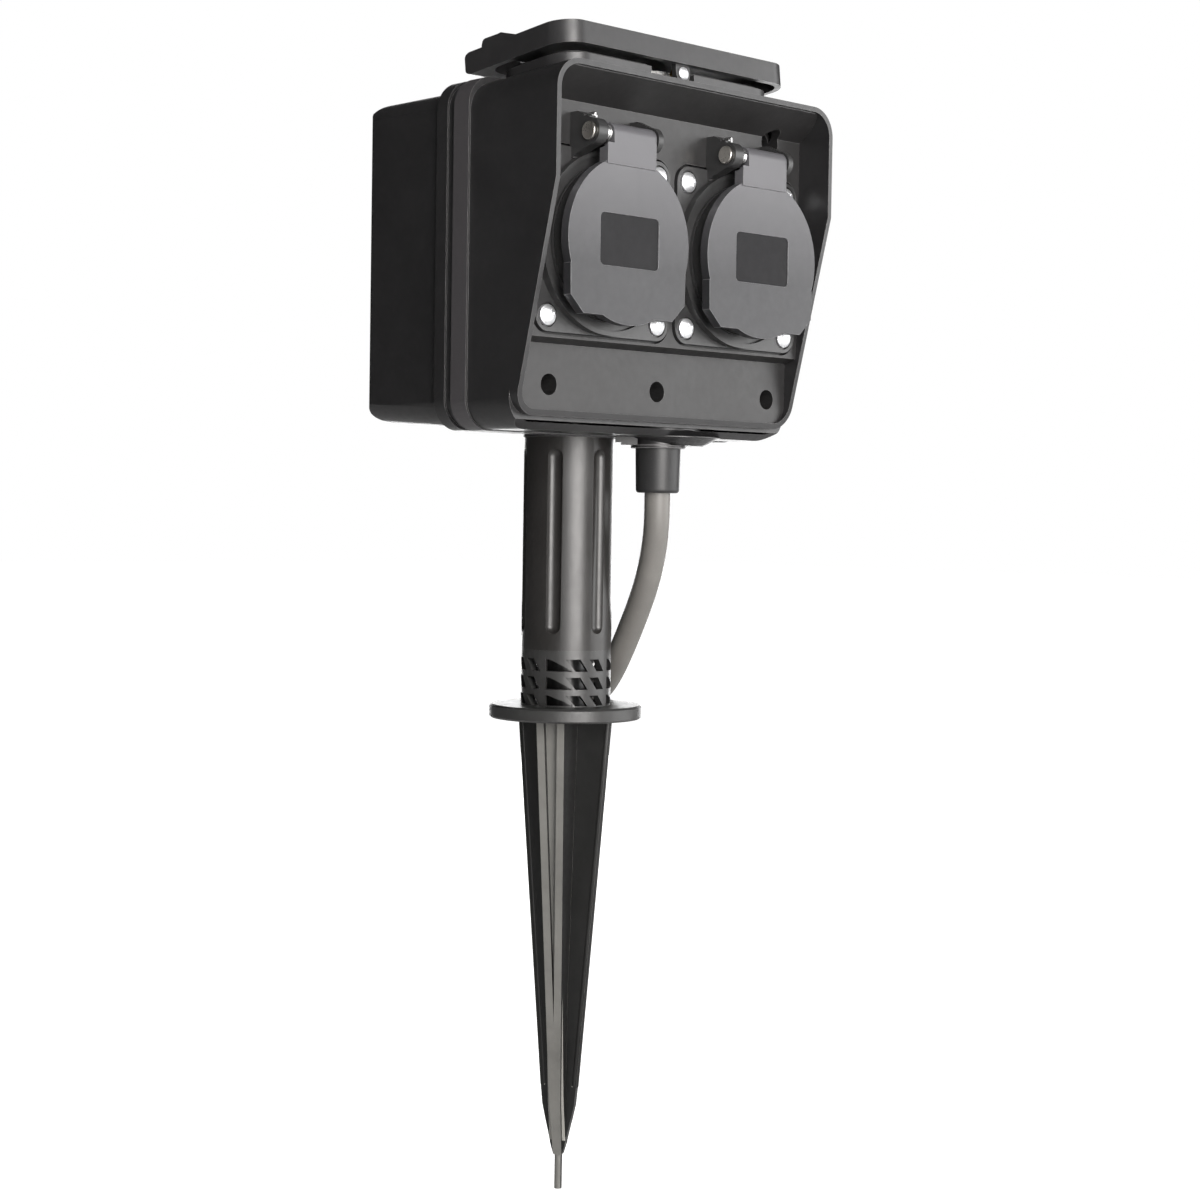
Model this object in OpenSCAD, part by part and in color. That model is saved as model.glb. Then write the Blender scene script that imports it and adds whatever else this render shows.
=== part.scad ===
// Garden socket on a ground spike: two covered earthed sockets under a hood,
// a hinged control lid on the roof, a fluted post, a lattice collar with a
// ground flange, a finned spike and a rubber lead with its plug.
// Millimetres. X right along the front, front faces -Y, Z up.
// Origin on the post axis at the underside of the ground flange.

/* [Housing] */
// Width over the hood rim
body_w = 120; // [110:0.5:140]
// Height of the rim's lower edge over the ground
rim_z = 95; // [85:0.5:120]
// Height of the hood rim
rim_h = 102.5; // [90:0.5:120]
// Distance of the rim in front of the post axis
front_y = 58; // [50:0.5:70]
// Distance of the seam in front of the post axis
seam_y = 9.6; // [8:0.1:14]
// Distance of the back behind the post axis
back_y = 31.5; // [24:0.5:45]
// Wall thickness
wall = 2.4; // [2:0.1:4]
// Wall thickness of the hood
skin = 1.6; // [1.4:0.1:2.4]
// Radius of the long corners
corner_r = 9; // [5:0.5:14]

/* [Sockets] */
// Distance between the two socket axes
pitch = 58; // [57:0.5:66]
// Height of the socket axes over the ground
socket_z = 147; // [140:0.5:160]
// Side of the square flange
flange_w = 54.8; // [53:0.2:56]
// Spacing of the four flange screws
screw_sp = 45.2; // [42:0.2:47]
// Outer radius of the collar
collar_r = 27.4; // [25:0.1:27.8]
// Radius of the plug recess
recess_r = 19.75; // [19.5:0.05:20]
// Depth of the plug recess
recess_d = 17.5; // [17:0.1:18]
// Distance between the two pin holes
pin_sp = 19; // [19:0.1:19.2]

/* [Flaps] */
// Radius of the flap disc
flap_r = 24.8; // [23:0.1:26]
// Thickness of the flap
flap_t = 3.2; // [2.5:0.1:4]
// Width of the hinge arm
arm_w = 20; // [16:0.5:24]
// Distance of the hinge pin in front of the post axis
hinge_y = 54; // [50:0.1:56]
// Height of the hinge pin over the ground
hinge_z = 178.2; // [172:0.1:182]

/* [Lid] */
// Left edge of the control lid
lid_x0 = -48.6; // [-54:0.1:-40]
// Right edge of the control lid
lid_x1 = 50.2; // [40:0.1:54]
// Rise of the lid towards the front, in degrees
lid_tilt = 6.2; // [0:0.1:10]
// Distance of the lid hinge in front of the post axis
lid_hinge_y = 5.4; // [4:0.1:12]
// Height of the lid hinge over the ground
lid_hinge_z = 203.6; // [200:0.1:208]

/* [Post and spike] */
// Radius of the post
post_r = 14.6; // [12:0.1:18]
// Height of the post's lower end
post_z0 = 22.4; // [18:0.1:30]
// Height of the post's shoulder under the housing
post_z1 = 90.8; // [80:0.1:110]
// Radius of the ground flange
ground_r = 24.9; // [20:0.1:35]
// Thickness of the ground flange
ground_t = 4.5; // [3:0.1:6]
// Length of the spike under the flange
spike_l = 155; // [120:1:200]
// Turn of the spike's fins against the view from the front
spike_turn = -61; // [-90:1:90]

/* [Cable] */
// Diameter of the lead
cord_d = 8.4; // [7:0.1:10]
// Direction in which the spare lead lies behind the post, in degrees from X
cord_a = 47.4; // [40:0.1:55]
// Gland position along that direction
gland_w = -7; // [-10:0.1:0]
// Gland position across that direction
gland_u = 28.6; // [26:0.1:34]
// Radius of the hank's end bends
hank_r = 44; // [26:1:50]
// Length of the hank's straight runs
hank_s = 76; // [60:1:120]

/* [Hidden] */
top_z = rim_z + rim_h;
hw = body_w / 2;
wall_y = -43.2;          // front face of the wall that carries the sockets
face_y = -45.2;          // front face of the raised layer round the flanges
panel_y = -40.4;         // front face of the lower panel
fl_y = -45.8;            // front face of the flanges
head_y = -44.9;          // seat of the flange screws
collar_y = -48.6;        // front face of the collars
flap_y = -56.8;          // front face of the flaps
gland_x = gland_w * cos(cord_a) + gland_u * sin(cord_a);
gland_y = gland_w * sin(cord_a) - gland_u * cos(cord_a);
rear_top = top_z - 3.1;  // top of the rear half
case_x = [-45.8, -0.5, 49.9]; // case screws of the lower panel
case_z = rim_z + 9.5;
lid_f = -43.2;           // front of the level lid
lug_z = -6;              // screw of the level lid
up = 2;                  // lift of the control panel

// ---- helpers -------------------------------------------------------------
// (x, z) outline carried along Y from y0 to y1
module ext_y(y0, y1) { translate([0, y1, 0]) rotate([90, 0, 0]) linear_extrude(y1 - y0) children(); }
// (y, z) outline carried along X from x0 to x1
module ext_x(x0, x1) { translate([x0, 0, 0]) rotate([90, 0, 90]) linear_extrude(x1 - x0) children(); }
// round bar along Y
module bar_y(x, z, y0, y1, r, f = 48) { translate([x, y1, z]) rotate([90, 0, 0]) cylinder(r = r, h = y1 - y0, $fn = f); }
// round bar along X
module bar_x(y, z, x0, x1, r, f = 48) { translate([x0, y, z]) rotate([0, 90, 0]) cylinder(r = r, h = x1 - x0, $fn = f); }
module bar_z(x, y, z0, z1, r, f = 48) { translate([x, y, z0]) cylinder(r = r, h = z1 - z0, $fn = f); }
module box(x0, y0, z0, x1, y1, z1) { translate([x0, y0, z0]) cube([x1 - x0, y1 - y0, z1 - z0]); }
// rectangle with round corners
module rrect(x0, y0, x1, y1, r) {
  translate([x0 + r, y0]) square([x1 - x0 - 2 * r, y1 - y0]);
  translate([x0, y0 + r]) square([x1 - x0, y1 - y0 - 2 * r]);
  for (x = [x0 + r, x1 - r], y = [y0 + r, y1 - r]) translate([x, y]) circle(r = r, $fn = 48);
}
// points of an arc
function arc(cx, cy, r, a0, a1, n) = [for (i = [0:n]) [cx + r * cos(a0 + (a1 - a0) * i / n), cy + r * sin(a0 + (a1 - a0) * i / n)]];
// things of the lid are drawn level about its hinge, then tipped
module on_lid() { translate([0, -lid_hinge_y, lid_hinge_z]) rotate([-lid_tilt, 0, 0]) children(); }
module on_cord() { rotate([0, 0, cord_a]) children(); }

// ---- housing -------------------------------------------------------------
under_z = rim_z - 3.8;   // underside of the front half
roof_t = 3.43;           // rise of the roof towards the front, in degrees
// prism under the sloping roof, set in by d
module roof_prism(d, r) { translate([0, -front_y, top_z]) rotate([-roof_t, 0, 0]) ext_y(-30, 90) rrect(-hw + d, -150, hw - d, -d, r); }
module front_shell() color([0.17, 0.17, 0.175]) {
  difference() {
    union() {
      intersection() {
        union() {
          // rim with its lip
          intersection() {
            ext_y(-front_y, -38.6) rrect(-hw, rim_z, hw, top_z + 40, 7.5);
            ext_x(-hw, hw) polygon([[-front_y, top_z + 2], [-front_y, top_z - 34.5], [-41, rim_z], [-38.6, rim_z], [-38.6, top_z + 2]]);
          }
          intersection() {
            ext_y(-41, -seam_y - 3) rrect(-hw, under_z, hw, top_z + 40, corner_r);
            ext_x(-hw, hw) polygon([[-38.8, top_z + 2], [-38.8, rim_z - 1.1], [-34.5, under_z], [-seam_y - 3, under_z], [-seam_y - 3, top_z + 2]]);
          }
        }
        roof_prism(0, corner_r);
      }
      // band along the seam
      ext_y(-seam_y - 10, -seam_y - 3) rrect(-hw - 0.7, under_z - 0.3, hw + 0.7, top_z - 0.4, corner_r + 0.4);
      // dish round the gland
      intersection() {
        union() {
          translate([gland_x + 5.5, gland_y, rim_z - 6.4]) cylinder(r1 = 10.6, r2 = 16, h = 2.7, $fn = 96);
          bar_z(gland_x + 5.5, gland_y, under_z - 0.1, under_z + 0.2, 16, 96);
        }
        box(-10, -60, 80, 60, -seam_y - 3.1, 100);
      }
      // boss around the post
      intersection() { bar_z(0, 0, post_z1, 93, post_r + 0.4); box(-20, -20, 80, 20, -seam_y - 3, 100); }
    }
    // room inside
    difference() {
      intersection() {
        union() {
          ext_y(-80, -38.6) rrect(-hw + skin, rim_z + 1.9, hw - skin, top_z + 30, 6);
          ext_y(-38.6, 0) rrect(-hw + skin, under_z + 2, hw - skin, top_z + 30, 7.4);
        }
        roof_prism(skin, 7.4);
      }
      // pad of the gland
      bar_z(gland_x, gland_y, 88, rim_z + 1, 13.5);
    }
    // opening for the controls, gland
    box(-41, -40.6, 186, 41, -16.6, 202);
    bar_z(gland_x, gland_y, 80, 110, 8);
    // drain slot
    box(-26, -30, 80, -18, -28, 96);
  }
}
// wall that carries the sockets, with the ceiling above and the panel below
module socket_wall() color([0.17, 0.17, 0.175]) {
  difference() {
    union() {
      intersection() {
        ext_y(-80, -38.6) rrect(-hw + skin, rim_z + 1.9, hw - skin, top_z + 30, 6);
        roof_prism(skin, 7.4);
        ext_x(-hw, hw) polygon([[panel_y, 90], [panel_y, rim_z + 21.6], [face_y, rim_z + 23], [face_y, 188.1], [-57, 195.6], [-57, 205], [-52.6, 205], [-52.6, 195.2],
          [-43.6, 189.5], [-40.6, 187], [-40.6, rim_z + 24.4], [-38.6, rim_z + 23.4], [-38.6, 90]]);
      }
      // wells of the case screws
      for (x = case_x) bar_y(x, case_z, -39, -seam_y - 3.2, 5);
      bar_y(44, 186.5, -41, -seam_y - 3.2, 5.4);
      // pads of the flange screws
      for (c = [-pitch / 2, pitch / 2], x = [-1, 1], z = [-1, 1])
        bar_y(c + x * screw_sp / 2, socket_z + z * screw_sp / 2, -41, -33, 3.2);
    }
    // pockets of the flanges
    for (c = [-pitch / 2, pitch / 2]) {
      ext_y(-60, wall_y) rrect(c - flange_w / 2 - 0.8, socket_z - flange_w / 2 - 0.8, c + flange_w / 2 + 0.8, socket_z + flange_w / 2 + 0.8, 6);
      // openings for the sockets and their screws
      translate([c, -30, socket_z]) rotate([90, 22.5, 0]) cylinder(r = recess_r + 3.9, h = 30, $fn = 8);
      for (x = [-1, 1], z = [-1, 1]) bar_y(c + x * screw_sp / 2, socket_z + z * screw_sp / 2, -60, -33.2, 1.5);
    }
    // bores of the case screws
    for (x = case_x) { bar_y(x, case_z, -60, -20, 3.2); bar_y(x, case_z, -30, 0, 1.8); }
    bar_y(44, 186.5, -58, -20, 3.9); bar_y(44, 186.5, -30, 0, 1.8);
  }
}
// raised frame on the roof under the lid, with the lid's brackets
module lid_frame() color([0.17, 0.17, 0.175]) {
  difference() {
    union() {
      difference() {
        intersection() {
          translate([0, 0, 190]) linear_extrude(20) rrect(-45.8, -46.4, 45.8, -seam_y - 3, 10);
          ext_x(-50, 50) polygon([[-50, top_z - 0.48], [-seam_y - 10, top_z - 2.3], [-seam_y - 10, top_z - 0.4], [-seam_y - 3, top_z - 0.4], [-seam_y - 3, 199.3], [-50, 203.1]]);
        }
        translate([0, 0, 190]) linear_extrude(20) rrect(-43.6, -44.2, 43.6, -14.8, 8);
        // notch for the lug of the lid
        box(-11, -48, 198.5, 7.5, -42.8, 206);
      }
      for (x = [-28, 28]) {
        bar_x(-lid_hinge_y, lid_hinge_z, x - 4, x + 4, 3.3);
        ext_x(x - 4, x + 4) polygon([[-14.8, top_z - 0.4], [-14.8, 199.5], [-9.4, 203.4], [-lid_hinge_y, lid_hinge_z + 0.4], [-lid_hinge_y + 1, lid_hinge_z - 2.8], [-10.4, top_z + 1.2], [-seam_y - 3, top_z - 0.4]]);
      }
    }
    bar_x(-lid_hinge_y, lid_hinge_z, -40, 40, 1.5);
  }
}
module rear_shell() color([0.16, 0.16, 0.165]) {
  difference() {
    union() {
      intersection() {
        ext_y(-seam_y - 2, back_y) rrect(-hw + 0.5, rim_z - 12, hw - 0.5, rear_top, corner_r);
        // floor that rises towards the back
        translate([0, -seam_y - 2, rim_z - 3]) rotate([3.4, 0, 0]) ext_y(-10, 60) rrect(-hw + 0.5, 0, hw - 0.5, 150, corner_r);
        ext_x(-hw, hw) polygon(concat([[-seam_y - 2, 80], [-seam_y - 2, 210]], [[20, 210], [20, rear_top]],
          arc(back_y - 5, rear_top - 5, 5, 90, 0, 8), arc(back_y - 2.5, rim_z + 2.2, 2.5, 0, -86, 5), [[10, 90], [10, 80]]));
        translate([0, 0, 80]) linear_extrude(130) polygon(concat([[-hw + 0.5, -seam_y - 2]], [[hw - 0.5, -seam_y - 2]],
          arc(hw - 1.2 - 2.6, back_y - 2.6, 2.6, 2, 90, 6), arc(-hw + 1.2 + 2.6, back_y - 2.6, 2.6, 90, 178, 6)));
      }
      // lip along the seam
      ext_y(-seam_y + 0.3, -seam_y + 5.3) rrect(-hw - 0.4, rim_z - 3.9, hw + 0.4, top_z - 0.5, corner_r + 0.3);
      ext_y(-seam_y - 2, -seam_y + 0.6) rrect(-hw + 0.2, rim_z - 3.3, hw - 0.2, top_z - 1.2, corner_r + 0.15);
      // seat of the post
      intersection() { bar_z(0, 0, post_z1, 97, post_r + 0.4); box(-20, -seam_y - 2, 80, 20, 20, 100); }
    }
    // room inside
    difference() {
      intersection() {
        ext_y(-20, back_y - wall) rrect(-hw + 2.6, rim_z - 12, hw - 2.6, rear_top - 2, 6.5);
        translate([0, -seam_y - 2, rim_z - 1]) rotate([3.4, 0, 0]) ext_y(-10, 60) rrect(-hw + 2.6, 0, hw - 2.6, 150, 6.5);
        translate([0, 0, 80]) linear_extrude(130) polygon([[-hw + 2.6, -20], [hw - 2.6, -20], [hw - 3.5, back_y - wall], [-hw + 3.5, back_y - wall]]);
      }
      // pillars of the case screws
      for (x = case_x) bar_y(x, case_z, -seam_y - 2, back_y, 4.4);
      bar_y(44, 186.5, -seam_y - 2, back_y, 4.6);
    }
    for (x = case_x) bar_y(x, case_z, -20, 10, 1.5);
    bar_y(44, 186.5, -20, 10, 1.5);
    bar_z(0, 0, 80, 99.8, 8.05);
    // flat seat of the post's nut
    bar_z(0, 0, rim_z + 0.6, 99.6, 13.4, 64);
  }
}
module housing_seal() color([0.05, 0.05, 0.05])
  difference() {
    ext_y(-seam_y - 3, -seam_y - 2) rrect(-hw + 0.6, rim_z - 2.9, hw - 0.6, top_z - 1.6, corner_r);
    ext_y(-20, 0) rrect(-hw + 2.7, rim_z - 0.8, hw - 2.7, top_z - 3.8, 6.5);
  }
module case_screw(x, z) {
  difference() {
    union() { bar_y(x, z, -22.6, -20, 2.9); bar_y(x, z, -20, 8, 1.49, 32); }
    for (a = [0, 90]) translate([x, -22.6, z]) rotate([0, a, 0]) cube([3.6, 2.4, 0.8], center = true);
  }
}
module housing_screws() color([0.75, 0.75, 0.77]) {
  for (x = case_x) case_screw(x, case_z);
  case_screw(44, 186.5);
}

// ---- sockets -------------------------------------------------------------
module frame_part(c) {
  difference() {
    union() {
      ext_y(fl_y, wall_y - 0.8) rrect(c - flange_w / 2, socket_z - flange_w / 2, c + flange_w / 2, socket_z + flange_w / 2, 5);
      // collar with a stepped lip
      bar_y(c, socket_z, collar_y, fl_y + 0.4, collar_r, 96);
      bar_y(c, socket_z, -45, -27.1, recess_r + 1.6, 96);
      // hinge ears, the right one narrow
      for (e = [[-14.2, -10.4], [10.3, 12.3]]) {
        bar_x(-hinge_y, hinge_z, c + e[0], c + e[1], 3.9, 48);
        ext_x(c + e[0], c + e[1]) polygon([[-hinge_y, hinge_z - 3.9], [-hinge_y, hinge_z + 3.9], [-48.4, hinge_z + 6.4], [face_y - 0.05, hinge_z + 6.4], [face_y - 0.05, 171], [-48.2, 172.2]]);
      }
      // bridge that joins the ears to the flange
      box(c - 14.2, -46.6, 171, c + 12.3, face_y - 0.05, hinge_z + 4.6);
    }
    // groove behind the lip
    difference() { bar_y(c, socket_z, -50, -47.5, collar_r - 1.3, 96); bar_y(c, socket_z, -50, -47, collar_r - 3.9, 96); }
    bar_y(c, socket_z, -60, -20, recess_r, 96);
    bar_x(-hinge_y, hinge_z, c - 30, c + 30, 1.6, 48);
    // notch that the hook of the spring sits in
    box(c - 14.6, -hinge_y - 2, hinge_z + 4.7, c - 9, -hinge_y + 2.85, hinge_z + 8);
    for (x = [-1, 1], z = [-1, 1]) {
      bar_y(c + x * screw_sp / 2, socket_z + z * screw_sp / 2, -60, -30, 1.7);
      // sinking for the screw head
      bar_y(c + x * screw_sp / 2, socket_z + z * screw_sp / 2, -46.5, head_y, 3.7);
    }
  }
  // guide ribs in the recess
  for (s = [-1, 1]) intersection() {
    box(c + s * 18.9 - 1.4, collar_y + 2, socket_z - 2.5, c + s * 18.9 + 1.4, -31.1, socket_z + 2.5);
    bar_y(c, socket_z, -50, -20, recess_r + 0.2, 96);
  }
}
module left_frame() color([0.12, 0.12, 0.125]) frame_part(-pitch / 2);
module right_frame() color([0.12, 0.12, 0.125]) frame_part(pitch / 2);
module gasket_part(c) difference() {
  ext_y(wall_y - 0.8, wall_y) rrect(c - flange_w / 2 + 0.4, socket_z - flange_w / 2 + 0.4, c + flange_w / 2 - 0.4, socket_z + flange_w / 2 - 0.4, 4.7);
  bar_y(c, socket_z, -60, -20, recess_r + 4, 64);
  for (x = [-1, 1], z = [-1, 1]) bar_y(c + x * screw_sp / 2, socket_z + z * screw_sp / 2, -60, -30, 1.7);
}
module left_gasket() color([0.04, 0.04, 0.04]) gasket_part(-pitch / 2);
module right_gasket() color([0.04, 0.04, 0.04]) gasket_part(pitch / 2);
module flange_screws() color([0.85, 0.86, 0.9])
  for (c = [-pitch / 2, pitch / 2], x = [-1, 1], z = [-1, 1]) {
    px = c + x * screw_sp / 2; pz = socket_z + z * screw_sp / 2;
    difference() {
      union() {
        translate([px, head_y, pz]) rotate([90, 0, 0]) rotate_extrude($fn = 48) polygon(concat([[0, 0], [3.05, 0], [3.05, 1.2]], arc(0, -0.9, 3.7, 34.5, 90, 6)));
        bar_y(px, pz, head_y, -33.4, 1.49, 32);
      }
      for (a = [0, 90]) translate([px, head_y - 2.7, pz]) rotate([0, a + 20 * x, 0]) cube([2.8, 1.2, 0.7], center = true);
    }
  }
module insert_part(c) difference() {
  union() {
    bar_y(c, socket_z, -31.1, -27.1, recess_r - 0.02, 96);
    box(c - 17, -27.1, socket_z - 11, c + 17, -15, socket_z + 11);
  }
  for (s = [-1, 1]) {
    bar_y(c + s * pin_sp / 2, socket_z, -35, -26.1, 2.7, 48);
    bar_y(c + s * pin_sp / 2, socket_z, -26.1, -10, 4.3, 48);
    // slots for the earth strips
    box(c - 2.6, -40, socket_z + s * 18.6 - 1.2, c + 2.6, -20, socket_z + s * 18.6 + 1.2);
    // ways to the clamping screws
    bar_z(c + s * pin_sp / 2, -18.5, socket_z + 3, socket_z + 20, 2);
  }
}
module left_insert() color([0.12, 0.12, 0.125]) insert_part(-pitch / 2);
module right_insert() color([0.12, 0.12, 0.125]) insert_part(pitch / 2);
module clips_part(c) for (s = [-1, 1]) {
  // a strip that springs into the recess, with a bowed nose
  translate([c, 0, socket_z]) rotate([0, s > 0 ? 0 : 180, 0])
    ext_x(-2.5, 2.5) polygon([[-45.5, 19.2], [-44.5, 19.4], [-27, 19.4], [-27, 18.3], [-31.5, 18.3], [-36, 17.6], [-40, 16.4], [-43.5, 16.6], [-46.2, 18.6]]);
}
module left_earth_clips() color([0.8, 0.8, 0.78]) clips_part(-pitch / 2);
module right_earth_clips() color([0.8, 0.8, 0.78]) clips_part(pitch / 2);
module contacts_part(c) for (s = [-1, 1]) difference() {
  bar_y(c + s * pin_sp / 2, socket_z, -26.1, -15, 4.28, 48);
  bar_y(c + s * pin_sp / 2, socket_z, -30, -19.5, 2.4, 48);
  box(c + s * pin_sp / 2 - 0.5, -30, socket_z - 6, c + s * pin_sp / 2 + 0.5, -21, socket_z + 6);
  bar_z(c + s * pin_sp / 2, -18.5, socket_z + 1, socket_z + 8, 1.5, 32);
}
module left_contacts() color([0.78, 0.62, 0.3]) contacts_part(-pitch / 2);
module right_contacts() color([0.78, 0.62, 0.3]) contacts_part(pitch / 2);
module contact_screws() color([0.75, 0.75, 0.77])
  for (c = [-pitch / 2, pitch / 2], s = [-1, 1]) bar_z(c + s * pin_sp / 2, -18.5, socket_z + 1, socket_z + 9, 1.48, 32);

// ---- flaps ---------------------------------------------------------------
module flap_part(c) {
  difference() {
    union() {
      bar_y(c, socket_z, flap_y, flap_y + flap_t, flap_r, 96);
      // squared lip at the foot, cut at the corners
      ext_y(flap_y, flap_y + flap_t) translate([c, socket_z]) polygon([[-23.7, -8.1], [23.7, -8.1], [23.5, -17.3], [18.3, -22.4], [-18.3, -22.4], [-23.5, -17.3]]);
      // arm and hinge barrel
      box(c - arm_w / 2, flap_y, socket_z + 18, c + arm_w / 2, flap_y + flap_t, hinge_z);
      box(c - arm_w / 2, -hinge_y - 3.28, socket_z + 22, c + arm_w / 2, -hinge_y, hinge_z);
      bar_x(-hinge_y, hinge_z, c - 7.4, c + arm_w / 2, 3.3, 48);
      // ring behind the disc that carries the seal
      bar_y(c, socket_z, flap_y + flap_t, flap_y + flap_t + 1.6, flap_r - 3.4, 96);
    }
    bar_x(-hinge_y, hinge_z, c - 30, c + 30, 1.6, 48);
    // room for the spring beside the barrel
    bar_x(-hinge_y, hinge_z, c - 12, c - 7.4, 4.4, 48);
    bar_y(c, socket_z, flap_y + flap_t, flap_y + flap_t + 3, flap_r - 5.4, 96);
    // smooth field on the front
    ext_y(flap_y - 1, flap_y + 0.3) rrect(c - 12, socket_z - 7.7, c + 12, socket_z + 7.7, 1.5);
  }
}
module left_flap() color([0.36, 0.37, 0.38]) flap_part(-pitch / 2);
module right_flap() color([0.36, 0.37, 0.38]) flap_part(pitch / 2);
module flap_seal_part(c) difference() {
  bar_y(c, socket_z, flap_y + flap_t + 1.6, collar_y - 0.2, flap_r - 1.6, 96);
  bar_y(c, socket_z, -60, -40, flap_r - 4.4, 96);
}
module left_flap_seal() color([0.45, 0.43, 0.4]) flap_seal_part(-pitch / 2);
module right_flap_seal() color([0.45, 0.43, 0.4]) flap_seal_part(pitch / 2);
module pin_part(c) {
  bar_x(-hinge_y, hinge_z, c - 14.2, c + 12.3, 1.55, 48);
  bar_x(-hinge_y, hinge_z, c - 15.2, c - 14.2, 2.7, 48);
  bar_x(-hinge_y, hinge_z, c + 12.3, c + 12.9, 2.3, 48);
}
module left_hinge_pin() color([0.8, 0.78, 0.72]) pin_part(-pitch / 2);
module right_hinge_pin() color([0.8, 0.78, 0.72]) pin_part(pitch / 2);
module spring_part(c) {
  // close turns about the pin
  translate([c - 10.3, -hinge_y, hinge_z]) rotate([0, 90, 0]) rotate_extrude($fn = 48) polygon(concat([[2, 0]],
    arc(2.3, 0.45, 0.42, -60, 60, 6), arc(2.3, 1.4, 0.42, -60, 60, 6), arc(2.3, 2.35, 0.42, -60, 60, 6), [[2, 2.75]]));
  // leg that runs up and hooks over the ear
  bar_z(c - 9.85, -hinge_y + 2.3, hinge_z, hinge_z + 5.2, 0.4, 24);
  translate([c - 9.85, -hinge_y + 2.3, hinge_z + 5.2]) sphere(r = 0.4, $fn = 24);
  bar_x(-hinge_y + 2.3, hinge_z + 5.2, c - 13, c - 9.85, 0.4, 24);
  translate([c - 13, -hinge_y + 2.3, hinge_z + 5.2]) sphere(r = 0.4, $fn = 24);
  bar_y(c - 13, hinge_z + 5.2, -hinge_y - 0.6, -hinge_y + 2.3, 0.4, 24);
  translate([c - 13, -hinge_y - 0.6, hinge_z + 5.2]) sphere(r = 0.4, $fn = 24);
  bar_z(c - 13, -hinge_y - 0.6, hinge_z + 4.35, hinge_z + 5.2, 0.4, 24);
}
module left_spring() color([0.8, 0.8, 0.82]) spring_part(-pitch / 2);
module right_spring() color([0.8, 0.8, 0.82]) spring_part(pitch / 2);

// ---- lid and controls ------------------------------------------------------
// level lid: hinge axis at the origin, front towards -Y
module top_lid() color([0.2, 0.2, 0.205]) on_lid() difference() {
  union() {
    intersection() {
      translate([0, 0, -6]) linear_extrude(16) rrect(lid_x0, lid_f, lid_x1, 40, 8.6);
      translate([0, 0, -6]) linear_extrude(16) rrect(lid_x0, lid_f - 20, lid_x1, 3.4, 1.5);
      ext_x(lid_x0, lid_x1) union() {
        polygon([[lid_f, -3.4], [lid_f, 3.2], [lid_f + 0.2, 3.4], [0, 3.4], [0, -3.4]]);
        polygon(arc(0, 0, 3.4, 90, -90, 12));
        // raised grip along the back
        polygon(concat([[-22, 3.3], [-5.6, 3.3]], [[-5.8, 4.2]], arc(-7.5, 4.1, 1.6, 15, 90, 4), [[-13.6, 5.6]], arc(-14.6, 4.2, 1.5, 80, 105, 2), [[-21.4, 3.4]]));
      }
    }
    // round lug for the screw
    intersection() { translate([1.6, lid_f + 3.4, lug_z]) rotate([90, 0, 0]) cylinder(r = 3, h = 1.8, $fn = 48); box(-10, -60, -10, 12, -30, -2); }
    box(-1.4, lid_f + 1.6, lug_z, 4.6, lid_f + 3.4, -1);
  }
  // hollow
  difference() {
    translate([0, 0, -10]) linear_extrude(11.6) rrect(lid_x0 + 2, lid_f + 2, lid_x1 - 2, -4.9, 6.6);
    translate([1.6, lid_f + 3.4, lug_z]) rotate([90, 0, 0]) cylinder(r = 3, h = 1.8, $fn = 48);
    box(-1.4, lid_f + 1.6, lug_z, 4.6, lid_f + 3.4, 5);
  }
  // gaps that let the brackets through
  for (x = [-28, 28]) box(x - 4.4, -4.95, -9, x + 4.4, 8, 8);
  bar_x(0, 0, lid_x0 + 1.2, lid_x1 - 1.2, 1.55);
  // screw hole in the lug
  translate([1.6, -30, lug_z]) rotate([90, 0, 0]) cylinder(r = 1.25, h = 20, $fn = 32);
}
module lid_hinge_pin() color([0.75, 0.75, 0.77]) bar_x(-lid_hinge_y, lid_hinge_z, lid_x0 + 1.4, lid_x1 - 1.4, 1.48);
module lid_seal() color([0.03, 0.03, 0.03]) difference() {
  intersection() {
    translate([0, 0, 195]) linear_extrude(12) rrect(-43.6, -44.2, 43.6, -14.8, 8);
    ext_x(-50, 50) polygon([[-50, 190], [-50, 204.2], [-10, 200.2], [-10, 190]]);
    box(-60, -60, 196.6 + up, 60, 0, 220);
  }
  translate([0, 0, 190]) linear_extrude(20) rrect(-42.3, -42.9, 42.3, -16.1, 6.7);
  box(-11, -48, 190, 7.5, -40, 210);
}
module lid_screw() color([0.85, 0.86, 0.9]) on_lid() translate([1.6, lid_f + 1.6, lug_z]) difference() {
  union() {
    rotate([90, 0, 0]) rotate_extrude($fn = 48) polygon(concat([[0, 0], [2, 0], [2, 0.4]], arc(0, -1.6, 2.83, 45, 90, 6)));
    rotate([-90, 0, 0]) cylinder(r = 1.24, h = 4.6, $fn = 32);
  }
  translate([0, -1.3, 0]) cube([2.8, 0.8, 0.6], center = true);
}
module lid_screw_nut() color([0.75, 0.75, 0.77]) on_lid() translate([1.6, lid_f + 3.4, lug_z]) rotate([-90, 0, 0]) difference() { cylinder(r = 2.4, h = 1.8, $fn = 6); translate([0, 0, -1]) cylinder(r = 1.24, h = 4, $fn = 32); }
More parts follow.
